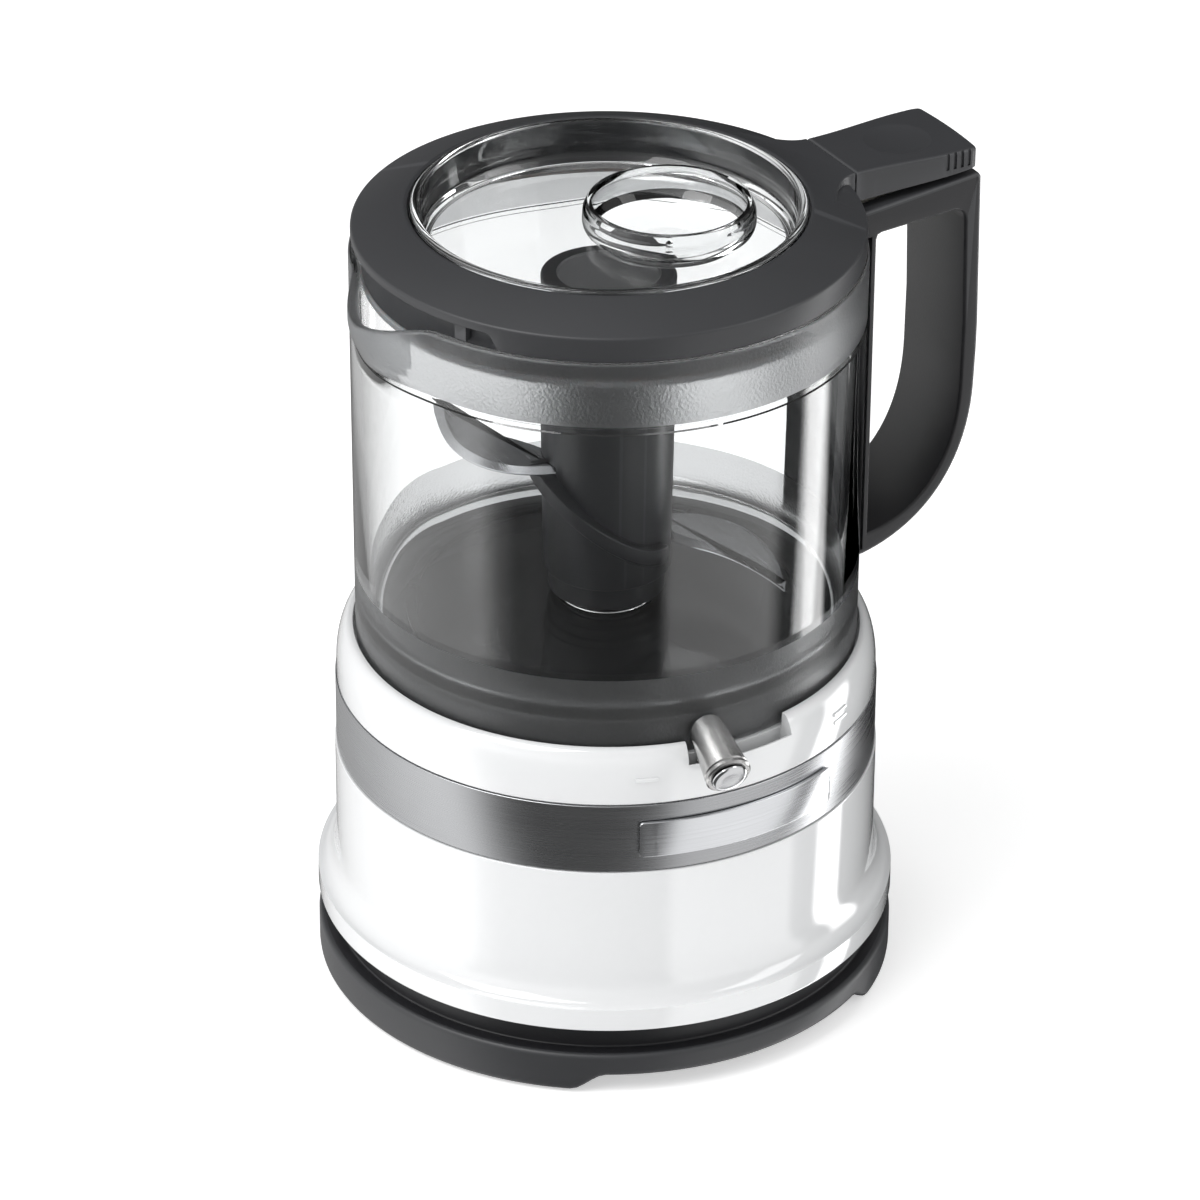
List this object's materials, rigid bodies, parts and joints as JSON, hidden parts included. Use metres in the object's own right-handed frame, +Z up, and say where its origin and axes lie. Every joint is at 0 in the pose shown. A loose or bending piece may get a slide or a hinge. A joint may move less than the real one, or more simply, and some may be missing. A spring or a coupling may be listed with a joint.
{
  "type": "food processor",
  "caption": "Compact upright food processor with a clear lift-off bowl, windowed lid with drip cup, side handle with pulse paddle, and a speed lever.",
  "frame": {"origin": "point where the drive axis meets the flat underside of the bottom cover, 5.2 mm above the surface the feet stand on", "axes": "+Z up along the drive axis, +X from the drive axis towards the handle, -Y towards the front with the speed lever"},
  "size_m": [0.1766, 0.1563, 0.2143],
  "materials": {
    "charcoal_plastic": "satin moulded",
    "black_plastic": "satin moulded",
    "white_gloss": "high gloss",
    "brushed_band": "brushed round the band",
    "satin_plate": "satin, blank",
    "nickel": "fine satin nickel",
    "chrome": "polished",
    "blade_steel": "polished stainless",
    "machined_steel": "machined",
    "dark_steel": "dull plated",
    "heat_sink_aluminium": "extruded",
    "bronze": "sintered",
    "copper": "wound copper",
    "clear_plastic": "clear, with frosted bands at foot and rim of the bowl",
    "rubber": "matt",
    "seal_silicone": "matt",
    "nylon": "natural nylon",
    "board_green": "coated board"
  },
  "bodies": {
    "base": {"bottom_cover": "charcoal_plastic", "rubber_foot_1": "rubber", "rubber_foot_2": "rubber", "rubber_foot_3": "rubber", "rubber_foot_4": "rubber", "cover_screw_1": "dark_steel", "cover_screw_2": "dark_steel", "cover_screw_3": "dark_steel", "cover_screw_4": "dark_steel", "cord_inlet": "black_plastic", "housing": "white_gloss", "trim_band": "brushed_band", "blank_plate": "satin_plate", "drive_deck": "charcoal_plastic", "shaft_seal": "rubber", "upper_bush": "bronze", "lower_bush": "bronze", "gearbox_plate": "dark_steel", "plate_screw_1": "dark_steel", "plate_screw_2": "dark_steel", "plate_screw_3": "dark_steel", "plate_screw_4": "dark_steel", "motor_can": "dark_steel", "motor_end_bell": "black_plastic", "motor_screw_1": "dark_steel", "motor_screw_2": "dark_steel", "motor_brush_1": "copper", "motor_brush_2": "copper", "control_board": "board_green", "capacitor": "black_plastic", "heat_sink": "heat_sink_aluminium", "microswitch": "black_plastic", "speed_switch": "black_plastic", "plunger_spring": "machined_steel"},
    "rotor": {"motor_shaft": "machined_steel", "armature": "copper", "commutator": "copper", "cooling_fan": "black_plastic", "motor_pinion": "machined_steel"},
    "drive": {"drive_spindle": "machined_steel", "drive_gear": "nylon"},
    "lever": {"speed_lever": "nickel", "lever_cap": "chrome"},
    "slider": {"switch_slider": "nylon"},
    "plunger": {"interlock_plunger": "nylon"},
    "bowl": {"bowl": "clear_plastic", "bowl_floor": "clear_plastic", "bowl_handle": "charcoal_plastic", "handle_column": "black_plastic", "transfer_pin": "machined_steel"},
    "transfer": {"transfer_lever": "nylon"},
    "rod": {"push_rod": "nylon"},
    "lid": {"lid_ring": "charcoal_plastic", "lid_window": "clear_plastic", "lid_seal": "seal_silicone", "paddle_pin": "machined_steel"},
    "paddle": {"pulse_paddle": "charcoal_plastic"},
    "blade": {"blade_hub": "black_plastic", "blade_lower": "blade_steel", "blade_upper": "blade_steel"}
  },
  "joints": [
    {"name": "bowl_lift", "type": "slide", "parent": "base", "child": "bowl", "axis": [0, 0, 1], "range_m": [0, 0.085]},
    {"name": "lid_lift", "type": "slide", "parent": "bowl", "child": "lid", "axis": [0, 0, 1], "range_m": [0, 0.04]},
    {"name": "paddle_press", "type": "hinge", "parent": "lid", "child": "paddle", "pos_m": [0.0666, 0, 0.2011], "axis": [0, 1, 0], "range_deg": [0, 2.6], "stiffness_Nm_per_rad": 1, "springref_deg": -2.86},
    {"name": "transfer_tilt", "type": "hinge", "parent": "bowl", "child": "transfer", "pos_m": [0.0945, 0, 0.1958], "axis": [0, 1, 0], "range_deg": [-4.4, 0]},
    {"name": "rod_travel", "type": "slide", "parent": "bowl", "child": "rod", "axis": [0, 0, -1], "range_m": [0, 0.0022]},
    {"name": "plunger_travel", "type": "slide", "parent": "base", "child": "plunger", "axis": [0, 0, -1], "range_m": [0, 0.0022], "deforming": ["plunger_spring"]},
    {"name": "rotor_spin", "type": "hinge", "parent": "base", "child": "rotor", "pos_m": [-0.03, 0, 0.04], "axis": [0, 0, 1], "continuous": true},
    {"name": "drive_spin", "type": "hinge", "parent": "base", "child": "drive", "pos_m": [0, 0, 0.075], "axis": [0, 0, 1], "continuous": true},
    {"name": "blade_spin", "type": "hinge", "parent": "bowl", "child": "blade", "pos_m": [0, 0, 0.13], "axis": [0, 0, 1], "continuous": true},
    {"name": "lever_turn", "type": "hinge", "parent": "base", "child": "lever", "pos_m": [0, 0, 0.08], "axis": [0, 0, 1], "range_deg": [0, 15]},
    {"name": "slider_travel", "type": "slide", "parent": "base", "child": "slider", "axis": [1, 0, 0], "range_m": [0, 0.0126]}
  ],
  "couplings": [
    {"joint": "transfer_tilt", "follows": "paddle_press", "ratio": -1.66},
    {"joint": "rod_travel", "follows": "paddle_press", "m_per_rad": 0.0461},
    {"joint": "plunger_travel", "follows": "paddle_press", "m_per_rad": 0.0461},
    {"joint": "drive_spin", "follows": "rotor_spin", "ratio": -0.25},
    {"joint": "blade_spin", "follows": "rotor_spin", "ratio": -0.25},
    {"joint": "slider_travel", "follows": "lever_turn", "m_per_rad": 0.0478}
  ]
}
